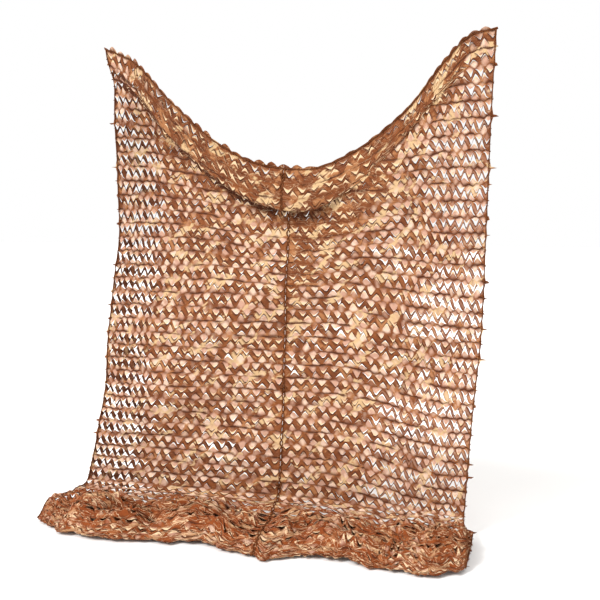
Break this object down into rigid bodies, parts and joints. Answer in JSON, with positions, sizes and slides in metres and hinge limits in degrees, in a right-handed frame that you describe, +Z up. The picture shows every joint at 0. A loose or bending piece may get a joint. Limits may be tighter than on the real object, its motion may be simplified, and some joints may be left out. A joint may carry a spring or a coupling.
{
  "type": "camouflage netting",
  "caption": "Slit-cloth camouflage net in desert tones, hung from its top corners in a swag, its lower end piled on the floor.",
  "frame": {"origin": "the middle of the top edge, on the seam between the two panels, which is the lowest part of the sagging edge", "axes": "+Z up, +X to the right seen from the front, -Y towards the front, where the swag folds over and the pile lies"},
  "size_m": [1.7596, 0.4775, 1.8709],
  "materials": {
    "net_cloth": "matt woven polyester in desert camouflage: red-brown with sand blotches",
    "cord": "matt dark brown braid"
  },
  "bodies": {
    "root": {"panel_left": "net_cloth", "panel_right": "net_cloth", "border_cord": "cord", "seam_cord": "cord"}
  },
  "joints": []
}
